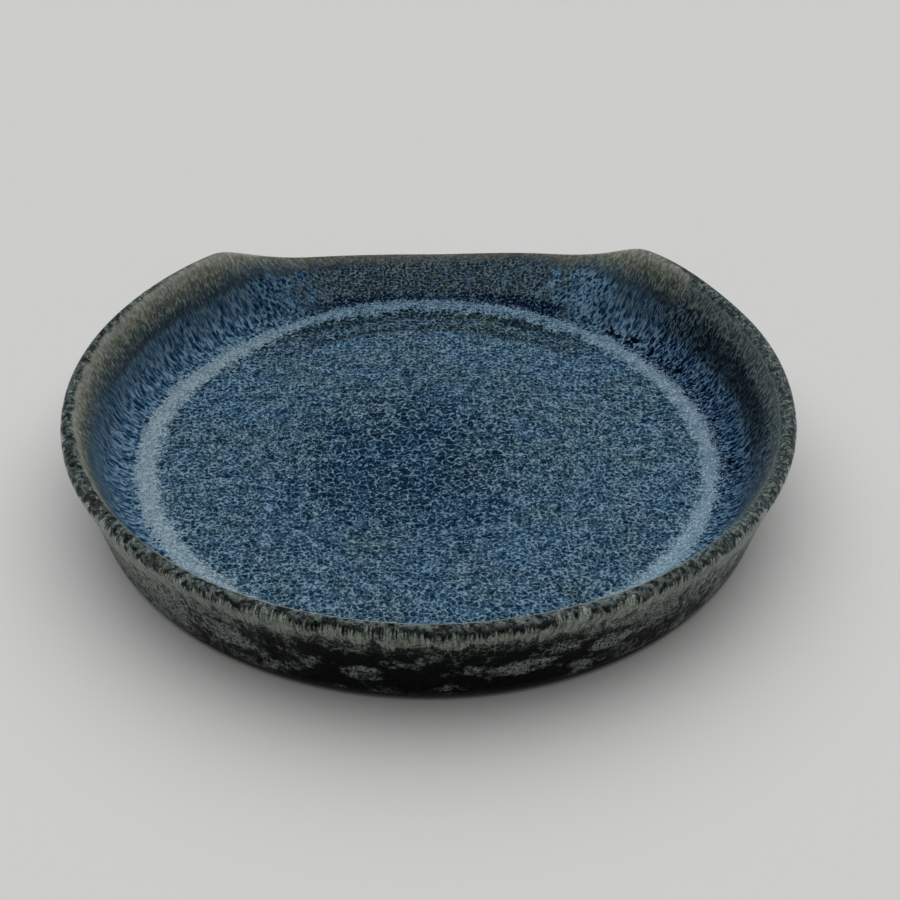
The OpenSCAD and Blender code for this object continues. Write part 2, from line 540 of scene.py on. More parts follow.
# %% Sockets that do sums
def set_stops(ramp, stops):
    """Gives a colour ramp its stops, as pairs of a place from 0 to 1 and a colour."""
    while len(ramp.elements) > 1:
        ramp.elements.remove(ramp.elements[-1])
    ramp.elements[0].position, ramp.elements[0].color = stops[0]
    for place, colour in stops[1:]:
        ramp.elements.new(place).color = colour


class Wire:
    """A node's output, which can be added, taken away and multiplied like a number."""

    tree = None

    def __init__(self, socket):
        self.socket = socket

    @classmethod
    def node(cls, kind, settings=None, sockets=None, output=0):
        made = cls.tree.nodes.new(kind)
        for name, value in (settings or {}).items():
            if name == "stops":
                set_stops(made.color_ramp, value)
            else:
                setattr(made, name, value)
        for name, value in (sockets or {}).items():
            if isinstance(value, Wire):
                cls.tree.links.new(value.socket, made.inputs[name])
            else:
                made.inputs[name].default_value = value
        return cls(made.outputs[output])

    @classmethod
    def math(cls, operation, a, b=0):
        return cls.node("ShaderNodeMath", {"operation": operation}, {0: a, 1: b})

    def __add__(self, other):
        return Wire.math("ADD", self, other)

    def __sub__(self, other):
        return Wire.math("SUBTRACT", self, other)

    def __rsub__(self, other):
        return Wire.math("SUBTRACT", other, self)

    def __mul__(self, other):
        return Wire.math("MULTIPLY", self, other)

    __radd__ = __add__
    __rmul__ = __mul__


# %% [markdown]
# A few helpers turn what a potter would say into nodes: a colour as it looks, a mask that rises, a mix of
# two colours, and a row of colour steps. The numbers in paint are the standard curve of a screen.


# %% Colours and masks
def paint(red, green, blue):
    """Colour as it looks on a screen, from 0 to 255, as the linear colour that a shader needs."""
    parts = [c / 255 for c in (red, green, blue)]
    return [c / 12.92 if c <= 0.04045 else ((c + 0.055) / 1.055) ** 2.4 for c in parts] + [1]


def rise(value, low, high):
    """Mask that is 0 below low and 1 above high."""
    sockets = {"Value": value, "From Min": low, "From Max": high}
    return Wire.node("ShaderNodeMapRange", {"interpolation_type": "SMOOTHSTEP"}, sockets)


def between(value, low, high, soft):
    """Mask that is 1 from low to high and fades over soft on both sides."""
    return rise(value, low - soft, low + soft) * (1 - rise(value, high - soft, high + soft))


def off(mask):
    """How far a mask is above or below its middle."""
    return mask - 0.5


def mix(under, over, mask):
    """Colour from under to over as the mask goes from 0 to 1. Three numbers are a colour as it looks."""
    settings = {"data_type": "RGBA", "clamp_factor": True}
    ends = [paint(*colour) if isinstance(colour, tuple) else colour for colour in (under, over)]
    return Wire.node("ShaderNodeMix", settings, {0: mask, 6: ends[0], 7: ends[1]}, 2)


def blend(colours, others, mask):
    """Each colour of a set, mixed with its match in another set."""
    return [mix(colour, other, mask) for colour, other in zip(colours, others)]


def steps(value, stops):
    """Colour and cover by a value in mm. A stop is a value, the colour there, and how much of it covers."""
    first = stops[0][0]
    span = stops[-1][0] - first
    shares = [((at - first) / span, paint(*colour)[:3] + [cover]) for at, colour, cover in stops]
    colour = Wire.node("ShaderNodeValToRGB", {"stops": shares}, {0: (value - first) * (1 / span)})
    return colour, Wire(colour.socket.node.outputs["Alpha"])


# %% [markdown]
# Noise is the other half of a glaze. A cloud is soft noise whose lumps have a size in millimetres. Plain
# noise seldom comes near 0 or 1, so a full cloud is stretched until it does. A seed moves each cloud to
# another part of the noise.

# %% Places and clouds
SEED_STEP = (7.3, 3.1, 11.7)
STRETCH = (0.3, 0.7)


def mark(name):
    """The three numbers of a mark on the mesh, and the whole of it as a vector."""
    whole = Wire.node("ShaderNodeAttribute", {"attribute_name": name}, {}, "Vector")
    return [Wire.node("ShaderNodeSeparateXYZ", {}, {0: whole}, axis) for axis in "XYZ"] + [whole]


def moved(vector, shift):
    return Wire.node("ShaderNodeVectorMath", {"operation": "ADD"}, {0: vector, 1: shift})


def scaled(vector, factors):
    return Wire.node("ShaderNodeVectorMath", {"operation": "MULTIPLY"}, {0: vector, 1: factors})


def away_from(place, vector):
    return Wire.node("ShaderNodeVectorMath", {"operation": "DISTANCE"}, {0: vector, 1: place}, "Value")


def spot_in_mm():
    """Place in the object's own space, in millimetres."""
    return scaled(Wire.node("ShaderNodeTexCoord", {}, {}, "Object"), [1 / MM] * 3)


def cloud(vector, size, seed, detail=2.0, rough=0.5):
    """Soft noise from 0 to 1, with lumps of about that size in what the vector counts in."""
    where = moved(vector, [step * seed for step in SEED_STEP])
    sockets = {"Vector": where, "Scale": 1 / size, "Detail": detail, "Roughness": rough}
    return Wire.node("ShaderNodeTexNoise", {}, sockets, "Fac")


def full_cloud(vector, size, seed, detail=2.0, rough=0.6, stretch=STRETCH):
    """Cloud that is stretched to reach from 0 to 1."""
    return rise(cloud(vector, size, seed, detail, rough), *stretch)


# %% [markdown]
# A material is made the same way for every piece: the glaze or the clay writes its nodes, and gives back a
# colour and a height for the finest relief, which is too small to be worth a mesh. Its tops are rougher.


# %% Material for a piece
def new_material(owner, name, specular):
    """Nodes and main shader of a new material."""
    made = bpy.data.materials.new(name)
    made.use_nodes = True
    owner.data.materials.append(made)
    shader = made.node_tree.nodes["Principled BSDF"]
    shader.inputs["Specular IOR Level"].default_value = specular
    return made.node_tree, shader


def finish(owner, coat, specular, rough, rougher, depth):
    """New material, named after its coat, which gives its colour and its fine relief, depth mm high."""
    Wire.tree, shader = new_material(owner, coat.__name__, specular)
    colour, height = coat()
    roughness = rough + rougher * height
    relief = Wire.node("ShaderNodeBump", {}, {"Height": height, "Distance": depth * MM})
    for socket, wire in (("Base Color", colour), ("Roughness", roughness), ("Normal", relief)):
        Wire.tree.links.new(wire.socket, shader.inputs[socket])
    print(coat.__name__, "uses", len(Wire.tree.nodes), "nodes")


# %% [markdown]
# The blue glaze parts as it cools: dark drops of clear navy glass, held in a net of pale crystal threads,
# and many drops have a pale speck or eye of their own. A Voronoi texture gives the drops: the distance to a
# drop's edge makes the threads, and the distance to its middle makes the speck. Noise bends and breaks the
# threads, because an even net would look like print.

# %% Drops and threads
WANDER_SCALE = 1.3
BREAK_SIZE = 0.7
BREAK_SEED = 20
THREAD_LEAST = 0.2


def drops(flow, size, bend, reach, seed, corners=0, eyes=0, breaks=0.28):
    """Height of the crystals, from 0 in a dark drop to 1 on a thread, and a number for each drop."""
    start = moved(flow, (5.0 * seed, 2.0 * seed, 0))
    sockets = {"Vector": start, "Scale": WANDER_SCALE / size}
    wander = Wire.node("ShaderNodeTexNoise", {"noise_dimensions": "2D"}, sockets, "Color")
    bent_flow = moved(flow, scaled(moved(wander, (-0.5, -0.5, -0.5)), (2 * bend, 2 * bend, 0)))
    where = {"Vector": moved(bent_flow, (9.0 * seed, 4.0 * seed, 0)), "Scale": 1 / size}
    flat = {"voronoi_dimensions": "2D"}
    to_edge = Wire.node("ShaderNodeTexVoronoi", {**flat, "feature": "DISTANCE_TO_EDGE"}, where, "Distance")
    to_middle = Wire.node("ShaderNodeTexVoronoi", flat, where, "Distance")
    tone = Wire.node("ShaderNodeTexVoronoi", flat, where, "Color")
    number = Wire.node("ShaderNodeSeparateXYZ", {}, {0: tone}, "X")
    strength = full_cloud(flow, BREAK_SIZE * size, BREAK_SEED + seed, 2.0, 0.5, (breaks, breaks + 0.4))
    thread = (1 - rise(to_edge, 0.0, reach)) * (THREAD_LEAST + (1 - THREAD_LEAST) * strength)
    corner = corners * rise(to_middle, 0.42, 0.7)
    speck = 0.6 * (1 - rise(to_middle, 0.08, 0.22)) * rise(number, 0.45, 0.65)
    eye = eyes * (1 - rise(to_middle, 0.02, 0.3))
    return thread + corner + speck + eye, number


def shade(height, dark, ground, pale):
    """Colour of a glaze by the height of its crystals."""
    return mix(mix(dark, ground, rise(height, 0.05, 0.5)), pale, rise(height, 0.4, 0.9))


# %% [markdown]
# All the glazes share the same places and noise, so their colours run on across the edges of the coats.
# Each finish gathers them once: where the point is, and clouds from fine grain to wide patches. Strands
# and blots are drawn out down the wall. The seam is the bearing where two pours of glaze meet.

# %% Places and noise that the glazes share
SEAM = 53
SHOULDER_FROM = (24, 38)
FRONT_RIGHT = (126, 150)
DARK_FROM = (40, 57)
DARK_TO = (94, 134)
STRANDS_ROUND = 62
STRANDS_DOWN = 0.17
BLOT_SHAPE = (1, 1, 2.6)


def drawn_out(here, around, down):
    """Vector for noise that is drawn out down the wall."""
    return Wire.node("ShaderNodeCombineXYZ", {}, {0: here.side * around, 1: here.back * around, 2: down})


def surroundings():
    """Where a point is on the pot, and the noise there."""
    here = SimpleNamespace()
    here.run, here.past, here.press, _ = mark("place")
    here.side, here.back, here.hang, _ = mark("bearing")
    here.flow = mark("flow")[3]
    here.bearing = Wire.math("ARCTAN2", here.side, here.back) * math.degrees(1)
    past_seam = rise(here.bearing, SEAM - 0.4, SEAM + 0.4)
    here.shoulder = rise(here.bearing, *SHOULDER_FROM) * (1 - past_seam)
    here.right_wall = past_seam * (1 - rise(here.bearing, *FRONT_RIGHT))
    # Mask of the darker right wall: partly its glaze, partly painted shade.
    here.dark_side = rise(here.bearing, *DARK_FROM) * (1 - 0.85 * rise(here.bearing, *DARK_TO))
    here.grain = full_cloud(here.flow, size=0.35, seed=3, stretch=(0.28, 0.72))
    here.lumps = full_cloud(here.flow, size=2.6, seed=4, stretch=(0.25, 0.75))
    here.patch = full_cloud(here.flow, size=13, seed=5, detail=3)
    here.tint = full_cloud(here.flow, size=5, seed=6, rough=0.5)
    here.hairs = between(cloud(here.flow, size=0.7, seed=8, detail=1.5), 0.455, 0.545, 0.03)
    drawn = drawn_out(here, STRANDS_ROUND, here.run * STRANDS_DOWN)
    here.strands = full_cloud(drawn, size=0.36, seed=7, detail=3, rough=0.65)
    here.blots = full_cloud(scaled(drawn, BLOT_SHAPE), size=0.5, seed=10, detail=3, rough=0.65)
    return here


# %% [markdown]
# On the floor the glaze lay still, so its drops stayed round. They are wide and dark near the middle and
# finer towards the wall, so two sizes of drop are mixed.

# %% Floor
WIDE_DROPS = dict(size=1.45, bend=0.75, reach=0.2, seed=1, corners=0.15, eyes=0.32, breaks=0.33)
FINE_DROPS = dict(size=1.15, bend=0.65, reach=0.32, seed=2)
DARK_MIDDLE = (-5, -1, 0)
DARK_R = (8, 27)
FINER_R = (10, 40)


def floor_net(here):
    """Height of the threads on the floor, a number for each drop, and a mask of the dark middle."""
    wide, number = drops(here.flow, **WIDE_DROPS)
    fine, _ = drops(here.flow, **FINE_DROPS)
    radius = away_from(DARK_MIDDLE, here.flow)
    middle = 1 - rise(radius + 14 * off(here.patch), *DARK_R)
    finer = 0.7 * rise(radius + 24 * off(here.lumps), *FINER_R)
    return wide * (1 - finer) + fine * finer, number, middle


def plain_floor(here, height, number, middle):
    dark = mix((0, 20, 36), (6, 36, 62), number)
    dark = mix(dark, (4, 18, 24), here.patch * 0.4)
    ground = mix((44, 77, 103), (52, 77, 89), here.patch)
    pale = mix((110, 140, 163), (114, 136, 145), here.tint)
    pale = mix(pale, (106, 128, 140), middle)
    return shade(height, dark, ground, pale)


# %% [markdown]
# At the foot of the wall the glaze pooled into a pale, grainy ring. At the back the ring is thin, and a dim
# arc runs inside it between two dark lines, greenish on one side. Masks by the run along the section place
# them, and the net makes their edges ragged.

# %% Arc and ring
ARC = (45.8, 55)
ARC_LINES = ((45.6, 46.9), (50.4, 52.6))
GREENISH = (5, 22)
RING_FROM = (51.5, 53.9)
RING_BACK = ((20, 46, 66), (78, 105, 124), (118, 142, 157))
BRIGHT_RING = (108, 150)


def arc_over(here, under, height, net, behind):
    arc_at = here.run + 1.5 * off(here.lumps) + 1.2 * off(net)
    pale = mix((82, 102, 111), (92, 108, 99), between(here.bearing, *GREENISH, 5))
    arc = shade(height - 0.05, (0, 13, 23), (22, 43, 54), pale)
    cover = 0.5 * between(arc_at, *ARC, 0.9)
    for line in ARC_LINES:
        cover = cover + 0.6 * between(arc_at, *line, 0.5)
    return mix(under, arc, cover * behind)


def ring_over(here, under, net, behind):
    height = 0.48 + 0.6 * (net - 0.4) + 0.7 * off(here.grain) + 0.25 * off(here.lumps)
    front = mix((115, 135, 146), (97, 123, 142), rise(here.side, -0.6, 0.6))
    ring = ((84, 108, 124), front, (146, 165, 175))
    deep, lit, pale = blend(ring, RING_BACK, rise(here.back, 0.6, 0.98))
    lit = mix(lit, (106, 133, 149), 0.7 * between(here.bearing, *BRIGHT_RING, 12))
    ragged = (1.1 + 1.2 * behind) * (here.lumps + net - 1)
    cover = rise(here.run + ragged - 0.6 * behind, *RING_FROM)
    return mix(under, shade(height, deep, lit, pale), cover)


def floor_colour(here):
    """Colour of the floor and the ring, and the height of the net there."""
    net, number, middle = floor_net(here)
    height = net + 0.3 * off(here.lumps) + 0.36 * off(here.grain) + 0.1 * (1 - middle)
    behind = rise(here.back + 0.1 * off(here.lumps), 0.62, 0.92)
    floor = arc_over(here, plain_floor(here, height, number, middle), height, net, behind)
    return ring_over(here, floor, net, behind), net


# %% [markdown]
# On the steep wall the glaze ran as it melted, which pulled the drops into slits and the threads into fur.
# On the left the fur is thick and pale with dark slits. On the right it is thin, over dark glass, and the
# whole right wall is darker, partly from its glaze and partly as painted shade. Higher up the coat is
# thinner and plainer. Where the wall bends down to the saddle the fur is brighter again.

# %% Wall
WALL_DROPS = dict(size=1.1, bend=0.7, seed=3)
# The right-hand sets are darker, partly as painted shade of the right wall.
FUR_LEFT = ((6, 32, 56), (58, 92, 118), (108, 136, 156))
FUR_RIGHT = ((0, 9, 32), (20, 52, 82), (86, 118, 143))
PLAIN_LEFT = ((26, 48, 66), (58, 82, 100), (94, 116, 132))
PLAIN_RIGHT = ((0, 6, 11), (28, 43, 55), (92, 113, 126))
FOLD_DIM = ((36, 64, 86), (78, 106, 128))
FOLD_BRIGHT = ((48, 78, 102), (94, 122, 142))
LOW_WALL = (61, 69)
NEAR_RING = (58, 63)
DEEPEST_BEARINGS = (58, 96)
DEEPEST_PAST = (-13.5, -7.5)


def wall_fur(here):
    """Height of the fur that the threads make on the wall."""
    threads, _ = drops(here.flow, reach=0.46 - 0.22 * here.dark_side, **WALL_DROPS)
    return threads + 0.4 * off(here.strands) + here.dark_side * (0.7 * here.hairs - 0.1)


def plain_wall(here, fur):
    """Colour of the wall away from the saddle: fur below, and a plainer coat above."""
    dark = here.dark_side
    plain = 0.46 + (1 - 0.5 * dark) * off(here.strands) + 0.2 * off(here.lumps)
    plain = plain + dark * (0.75 * here.hairs - 0.2)
    # On the right both coats are darker, partly as painted shade.
    upper = shade(plain, *blend(PLAIN_LEFT, PLAIN_RIGHT, dark))
    lower = shade(fur, *blend(FUR_LEFT, FUR_RIGHT, dark))
    wall = mix(upper, lower, 1 - rise(here.run + 4 * off(here.lumps), *LOW_WALL))
    deepest = between(here.bearing, *DEEPEST_BEARINGS, 8) * between(here.past, *DEEPEST_PAST, 1.5)
    return mix(wall, (2, 7, 10), 0.7 * deepest)


def folds_over(here, under, fur):
    """Colour of the wall with the brighter folds beside the saddle."""
    bright = rise(here.side, -0.2, 0.2) + (1 - rise(here.run, *NEAR_RING))
    fold = shade(fur, (2, 20, 38), *blend(FOLD_DIM, FOLD_BRIGHT, bright))
    return mix(under, fold, rise(here.press, 0.1, 0.4))


# %% [markdown]
# On the level saddle the glaze stayed still again, as grey-green grains over dark glass, with dark gaps
# along the ring. On the right a few deep pools lie just above the ring.

# %% Saddle and pools
SADDLE_DROPS = dict(size=1.0, bend=0.6, reach=0.34, seed=4)
POOL_DROPS = dict(size=1.9, bend=0.8, reach=0.3, seed=5)
GAPS_TO = (59.4, 61.4)
GAP_BEARINGS = (14, 30)
POOLS = (57.5, 60.5)
POOL_BEARINGS = (32, 105)


def saddle_over(here, under):
    """Colour of the wall with the saddle's grains, and dark gaps along the ring."""
    grains, _ = drops(here.flow, **SADDLE_DROPS)
    worms = grains + 0.3 * off(here.lumps) + 0.4 * off(here.grain)
    saddle = shade(worms, (8, 21, 31), (34, 50, 58), (86, 102, 108))
    wall = mix(under, saddle, rise(here.press + 0.4 * off(here.lumps), 0.68, 0.98))
    near = 1 - rise(here.run + 1.4 * off(here.lumps) + 1.4 * off(grains), *GAPS_TO)
    around = rise(here.press, 0.6, 0.95) + between(here.bearing, *GAP_BEARINGS, 5)
    gap = shade(worms - 0.15, (0, 7, 24), (8, 29, 54), (72, 102, 126))
    return mix(wall, gap, 0.9 * (near * around))


def pools_over(here, under):
    pools, number = drops(here.flow, **POOL_DROPS)
    deep = (1 - rise(pools, 0.25, 0.4)) * rise(number, 0.5, 0.54)
    near = between(here.run + off(here.lumps), *POOLS, 1)
    return mix(under, (0, 4, 14), deep * near * between(here.bearing, *POOL_BEARINGS, 8))


def wall_colour(here):
    """Colour of the wall and saddle above the ring, and the height of the fur there."""
    fur = wall_fur(here)
    wall = folds_over(here, plain_wall(here, fur), fur)
    return pools_over(here, saddle_over(here, wall)), fur


# %% [markdown]
# Towards the lip the coat thins. The blue turns dark, then olive, and just inside the lip the clay shows
# through as tan. A colour ramp by the distance past the crest gives those steps. The right wall has steps
# of its own: dark green with a fine pale line. The two meet at a thin seam on the right shoulder.

# %% Inside of the lip
LIP_STEPS = (
    (-9.5, (50, 66, 72), 0),
    (-8, (50, 64, 68), 0.4),
    (-7, (60, 74, 75), 0.8),
    (-6, (78, 88, 84), 1),
    (-5, (94, 101, 92), 1),
    (-4, (120, 124, 113), 1),
    (-3, (143, 145, 134), 1),
    (-2, (134, 137, 128), 1),
    (-1, (106, 108, 101), 1),
)
RIGHT_LIP_STEPS = (
    (-8.2, (42, 54, 58), 0),
    (-7, (44, 57, 60), 0.5),
    (-6, (56, 70, 72), 0.9),
    (-4, (68, 83, 84), 1),
    (-3.3, (74, 89, 90), 1),
    (-3, (116, 130, 129), 1),
    (-2.6, (84, 97, 97), 1),
    (-1, (76, 88, 88), 1),
)
RIGHT_FOLD = (11, 35)
LEFT_FOLD = (-38, -20)
SHADOW_PAST = (-9.6, -7.8)
SHADOW_LEFT = (-80, -12)


def olive_lip(here, under):
    """Colour near the lip with the steps from blue to tan, and a dark shadow below them."""
    soft = here.past + 1.2 * off(here.lumps) + 0.9 * off(here.blots) + 0.5 * off(here.strands)
    pressed = 1.2 * rise(here.press, 0.35, 0.75) + 2.0 * rise(here.press, 0.82, 0.98)
    folds = 1.1 * between(here.bearing, *RIGHT_FOLD, 7) + 0.8 * between(here.bearing, *LEFT_FOLD, 6)
    lip_at = soft - 0.3 * here.shoulder - pressed - folds
    shadow = between(lip_at, *SHADOW_PAST, 0.8) * (between(here.bearing, *SHADOW_LEFT, 9) + here.shoulder)
    colour = mix(under, (32, 44, 48), 0.8 * shadow)
    olive, cover = steps(lip_at, LIP_STEPS)
    olive = mix(olive, (80, 77, 74), 0.7 * rise(here.press, 0.6, 0.9))
    olive = mix(olive, (36, 46, 36), (0.4 + 0.2 * here.shoulder) * (1 - here.blots))
    olive = mix(olive, (172, 173, 163), 0.4 * rise(here.blots, 0.4, 1) * (1 - 0.7 * here.press))
    return mix(colour, olive, cover * (1 - here.right_wall))


def green_lip(here, under):
    """Colour near the lip with the darker steps of the right wall, and the seam."""
    green, cover = steps(here.past + 0.5 * off(here.lumps) + 0.3 * off(here.grain), RIGHT_LIP_STEPS)
    green = mix(green, (14, 22, 22), 0.45 * (1 - here.blots))
    green = mix(green, (140, 153, 150), 0.45 * here.hairs)
    colour = mix(under, green, cover * here.right_wall)
    seam = between(here.bearing + 1.5 * off(here.lumps), SEAM - 0.2, SEAM + 0.3, 0.2)
    return mix(colour, (150, 148, 138), 0.55 * seam * rise(here.past, -7.5, -5))


# %% [markdown]
# Floor, wall and lip together are the inside of the dish. The wall begins where the ring ends, a little
# lower beside the saddle and on the right. This is all the colour of the liner, and the rim uses it too.

# %% Blue net glaze on the liner
WALL_FROM = (57.1, 58.1)
BESIDE_SADDLE = (24, 60)


def inside_colour(here):
    """Colour inside the dish, and the height of its crystals."""
    floor, net = floor_colour(here)
    wall, fur = wall_colour(here)
    either_way = Wire.math("ABSOLUTE", here.bearing)
    lower = 0.7 * (between(either_way, *BESIDE_SADDLE, 6) + rise(here.side, 0.7, 0.95))
    wall_at = here.run + 1.2 * off(here.lumps) + 1.6 * (0.6 - fur) + lower
    inside = mix(floor, wall, rise(wall_at, *WALL_FROM))
    return green_lip(here, olive_lip(here, inside)), net


def blue_net_glaze():
    return inside_colour(surroundings())


finish(blue_liner, blue_net_glaze, specular=0.08, rough=0.36, rougher=0.12, depth=0.03)

# %% [markdown]
# The rim's glaze is darker and stiffer, and outside it runs. Its noise is drawn out down the wall: fine
# falls, wider tongues and wide swathes. Round mottles, curls and frost lie between them.

# %% Noise of the outside
FALLS_ROUND = 70
FALLS_DOWN = 0.14
BROAD_SHAPE = (1, 1, 2.2)


def add_outside_noise(here):
    """Adds the noise of the outside, and how far to the side the point is."""
    spot = spot_in_mm()
    drawn = drawn_out(here, FALLS_ROUND, here.past * FALLS_DOWN)
    here.fall = full_cloud(drawn, size=0.42, seed=10, detail=3)
    here.tongue = full_cloud(drawn, size=1.6, seed=11)
    here.swathe = full_cloud(drawn, size=5.0, seed=17)
    here.mottle = full_cloud(spot, size=1.2, seed=12, detail=3)
    here.broad = cloud(scaled(spot, BROAD_SHAPE), size=9, seed=13, detail=3, rough=0.55)
    here.curl = between(cloud(spot, size=1.2, seed=14, detail=1.5, rough=0.6), 0.465, 0.535, 0.025)
    here.frost = between(cloud(spot, size=0.8, seed=15, rough=0.6), 0.45, 0.55, 0.04)
    here.aside = Wire.math("ABSOLUTE", here.side)
    here.far_aside = here.aside * here.aside


# %% [markdown]
# On the crest the glaze is green-black with pale curls, and in front a painted highlight runs along its
# inner edge as a thin pale line.
# Outside it hangs in a grey-green band with streaks, which is greyer towards the sides, partly from the
# glaze and partly as painted sheen.

# %% Crest and hanging band
CREST_HIGHLIGHT = (-2.4, -1.4)
BAND_FROM = 1.6
GREY_FRONT = ((56, 66, 58), (156, 164, 155))
# The side colours are paler partly as painted sheen.
GREY_AND_SHEEN_SIDE = ((84, 92, 88), (184, 193, 188))


def crest_colour(here):
    front = rise(here.back, -0.55, -0.95)
    sharp = mix((2, 7, 7), (112, 122, 118), rise(here.mottle, 0.2, 0.8))
    crest = mix((8, 15, 16), (72, 83, 83), here.mottle)
    crest = mix(crest, sharp, 0.3 * front)
    crest = mix(crest, (44, 39, 35), 0.4 * rise(here.broad, 0.52, 0.6))
    crest = mix(crest, (52, 63, 63), 0.4 * here.right_wall)
    curls = here.curl * rise(here.mottle + 0.2 * here.right_wall, 0.3, 0.7)
    crest = mix(crest, (140, 152, 148), curls * (0.5 - 0.2 * front))
    # Painted highlight: a thin pale line along the inner edge of the crest, in front only.
    return mix(crest, (150, 163, 166), 0.6 * between(here.past, *CREST_HIGHLIGHT, 0.15) * front)


def hanging_band(here):
    # Towards the sides the band is greyer and paler, partly from the glaze and partly as painted sheen.
    grey = mix(*blend(GREY_FRONT, GREY_AND_SHEEN_SIDE, here.far_aside), 0.6 * here.fall + 0.4 * here.frost)
    veil = 0.4 * here.fall + 0.3 * here.mottle + 0.3 * here.tongue + 0.5 * (here.swathe - 0.4)
    veil = veil + 0.25 * (here.past - BAND_FROM) + 0.15 * here.far_aside
    return mix((1, 3, 2), grey, rise(veil, 0.27, 0.86))


# %% [markdown]
# Below the band the coat is black in front and grey towards the sides, partly from ash and partly as painted
# sheen, with soft grey clouds. Most come from noise. A few have a place: a bearing, a distance past the
# crest and half a width.

# %% Black coat and its clouds
CLOUDS = ((-170, 14.5, 4), (166, 14, 6), (-149, 13.5, 5), (152, 12.5, 4), (-122, 8, 5), (128, 8, 5))
CLOUD_H = 2.4
MM_PER_DEGREE = 1.15
ASH_FRONT = ((2, 5, 5), (104, 112, 109))
# The side colours are paler partly as painted sheen.
ASH_AND_SHEEN_SIDE = ((12, 17, 16), (206, 214, 210))
ASH_AND_SHEEN_TO = (9, 18)


def clouds(here):
    """Mask of the few clouds that have a place."""
    total = 0
    for bearing, past, half_width in CLOUDS:
        across = (here.bearing - bearing) * (MM_PER_DEGREE / half_width)
        down = (here.past - past) * (1 / CLOUD_H)
        total = total + (1 - rise(across * across + down * down, 0.3, 1.6))
    return total


def black_with_ash_and_sheen(here):
    black = mix((1, 2, 2), (10, 13, 13), here.mottle)
    streaks = 0.5 * here.fall + 0.4 * here.tongue + 0.4 * off(here.mottle) + 0.2 * here.frost
    # Towards the sides the coat turns grey, partly as ash and partly as painted sheen.
    ash_and_sheen = mix(*blend(ASH_FRONT, ASH_AND_SHEEN_SIDE, here.far_aside), rise(streaks, 0.28, 0.72))
    patchy = 0.3 + 0.7 * rise(here.broad + 0.3 * off(here.mottle) + 0.2 * here.far_aside, 0.44, 0.6)
    ash_and_sheen_cover = rise(here.aside - 0.12 * rise(here.side, 0, 0.4), 0.25, 0.78)
    return mix(black, ash_and_sheen, patchy * ash_and_sheen_cover * (1 - 0.6 * rise(here.past, *ASH_AND_SHEEN_TO)))


def clouded_coat(here):
    """Colour of the coat with its clouds, and with curls just below the band."""
    haze = mix((26, 32, 30), (136, 146, 140), rise(0.6 * here.frost + 0.4 * here.fall, 0.1, 0.75))
    # More cloud towards the sides is partly painted sheen.
    cover = here.broad + 0.16 * here.aside + 0.12 * off(here.mottle) + 0.2 * clouds(here)
    coat = mix(black_with_ash_and_sheen(here), haze, 0.95 * rise(cover, 0.54, 0.72))
    below = rise(here.hang + 3 * off(here.tongue) + 2 * off(here.mottle), -4.5, -0.5)
    return mix(coat, (118, 128, 121), 0.75 * here.curl * below)


# %% [markdown]
# The outside is the coat, the band over it, and the crest. The band ends in an uneven fringe, which follows
# the hang of the runs in the mesh, so that colour and relief agree.


# %% Outside colours
def outside_colour(here):
    """Colour of the crest and the outside, and the height of its curls."""
    add_outside_noise(here)
    fringe = rise(here.hang + 0.9 * off(here.fall) + 2.4 * off(here.tongue), -0.5, 0.4)
    coat = mix(clouded_coat(here), hanging_band(here), fringe)
    later = 0.9 * rise(here.aside, 0.3, 0.7)
    ragged = 1.5 * off(here.mottle) + 0.5 * off(here.fall) + 1.4 * off(here.swathe)
    past_crest = rise(here.past + ragged - later, 0.1, 1.0)
    return mix(crest_colour(here), coat, past_crest), here.curl


# %% [markdown]
# The rim's coat goes from the inside over the crest, so it needs both colours. They meet just inside the
# crest, further in on the right, and on the crest itself at the back.

# %% Olive glaze on the rim
CREST_EDGE = -1.7
RIGHT_LIP = (SEAM, 108)
LEFT_FRONT = (-115, -95)


def olive_rim_glaze():
    here = surroundings()
    inner, _ = inside_colour(here)
    outer, curls = outside_colour(here)
    open_back = rise(here.back, 0.35, 0.85) * (1 - here.right_wall)
    left_front = 1 - rise(here.bearing, *LEFT_FRONT)
    edge = CREST_EDGE - between(here.bearing, *RIGHT_LIP, 6) - 0.4 * left_front + 1.9 * open_back
    past_edge = rise(here.past + 0.7 * off(here.lumps) + 0.8 * off(here.blots) - edge, -0.5, 0.5)
    return mix(inner, outer, past_edge), curls


finish(olive_rim, olive_rim_glaze, specular=0.08, rough=0.38, rougher=0.1, depth=0.03)

# %% [markdown]
# The outside coat needs only the outside colours. It shines less than the rim.


# %% Black glaze on the outside
def dark_outer_glaze():
    return outside_colour(surroundings())


finish(dark_outside, dark_outer_glaze, specular=0.03, rough=0.36, rougher=0.1, depth=0.03)

# %% [markdown]
# Bare stoneware is a dull brown with coarse sand in it, the potter's grog. It shows as a thin line at the
# foot and on the base. The foot lies in the shade under the dish, so the brown is painted darker than the
# clay, as painted shade. Two clouds are enough: one for the grain and one for the dark specks of iron.


# %% Bare clay
def bare_stoneware():
    spot = spot_in_mm()
    grog = full_cloud(spot, size=0.7, seed=15, detail=3)
    iron = rise(cloud(spot, size=0.8, seed=16), 0.68, 0.76)
    # Both browns are painted dark, partly as painted shade of the foot.
    return mix(mix((28, 20, 16), (66, 50, 40), grog), (18, 13, 11), iron), grog


finish(thrown_clay, bare_stoneware, specular=0.3, rough=0.8, rougher=0.1, depth=0.05)

# %% [markdown]
# The pot stands on one sheet of pale grey paper, a plane that is large enough to fill the picture. It
# belongs to the stage, not to the pot.

